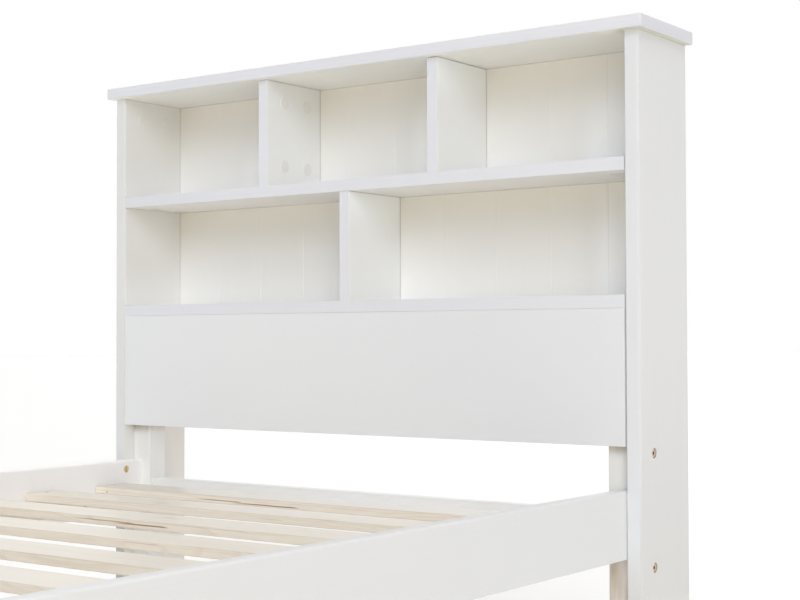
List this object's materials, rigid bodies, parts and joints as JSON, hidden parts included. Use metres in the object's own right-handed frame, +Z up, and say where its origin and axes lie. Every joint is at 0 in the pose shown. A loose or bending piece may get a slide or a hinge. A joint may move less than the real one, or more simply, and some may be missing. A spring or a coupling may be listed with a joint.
{
  "type": "bookcase headboard bed",
  "caption": "Single bed frame whose tall headboard is an open bookcase with a flat cap board, on side rails with slats and a low foot end.",
  "frame": {"origin": "on the floor, under the middle of the bed's box", "axes": "+Z up, +Y along the bed towards the headboard, +X to the right for someone standing at the foot end and looking at the headboard"},
  "size_m": [1.02, 2.1176, 1],
  "materials": {
    "painted_wood": "satin white paint, faint grain",
    "painted_back_panel": "satin white paint on a thin grooved panel",
    "pine": "bare planed pine with darker grain lines and knots",
    "beech": "bare turned beech",
    "brass": "plated, slightly dull",
    "bolt_steel": "bronzed, satin",
    "zinc_steel": "zinc plated",
    "screw_steel": "yellowed zinc, dull",
    "cover_plastic": "moulded white"
  },
  "bodies": {
    "root": {"back_panel": "painted_back_panel", "back_screws": "screw_steel", "barrel_nuts": "brass", "batten_screws": "screw_steel", "cam_covers": "cover_plastic", "cam_discs": "zinc_steel", "cam_pins": "zinc_steel", "cap_board": "painted_wood", "divider_lower": "painted_wood", "divider_upper_left": "painted_wood", "divider_upper_right": "painted_wood", "dowels": "beech", "foot_cap_board": "painted_wood", "foot_panel": "painted_wood", "foot_post_left": "painted_wood", "foot_post_right": "painted_wood", "front_panel": "painted_wood", "head_cross_rail": "painted_wood", "head_post_left": "painted_wood", "head_post_right": "painted_wood", "panel_bolts": "bolt_steel", "panel_sleeves": "zinc_steel", "rail_bolts": "bolt_steel", "shelf_lower": "painted_wood", "shelf_upper": "painted_wood", "side_panel_left": "painted_wood", "side_panel_right": "painted_wood", "side_rail_left": "painted_wood", "side_rail_right": "painted_wood", "slat_01": "pine", "slat_02": "pine", "slat_03": "pine", "slat_04": "pine", "slat_05": "pine", "slat_06": "pine", "slat_07": "pine", "slat_08": "pine", "slat_09": "pine", "slat_10": "pine", "slat_11": "pine", "slat_12": "pine", "slat_13": "pine", "slat_batten_left": "pine", "slat_batten_right": "pine", "slat_screws": "screw_steel"}
  },
  "joints": []
}
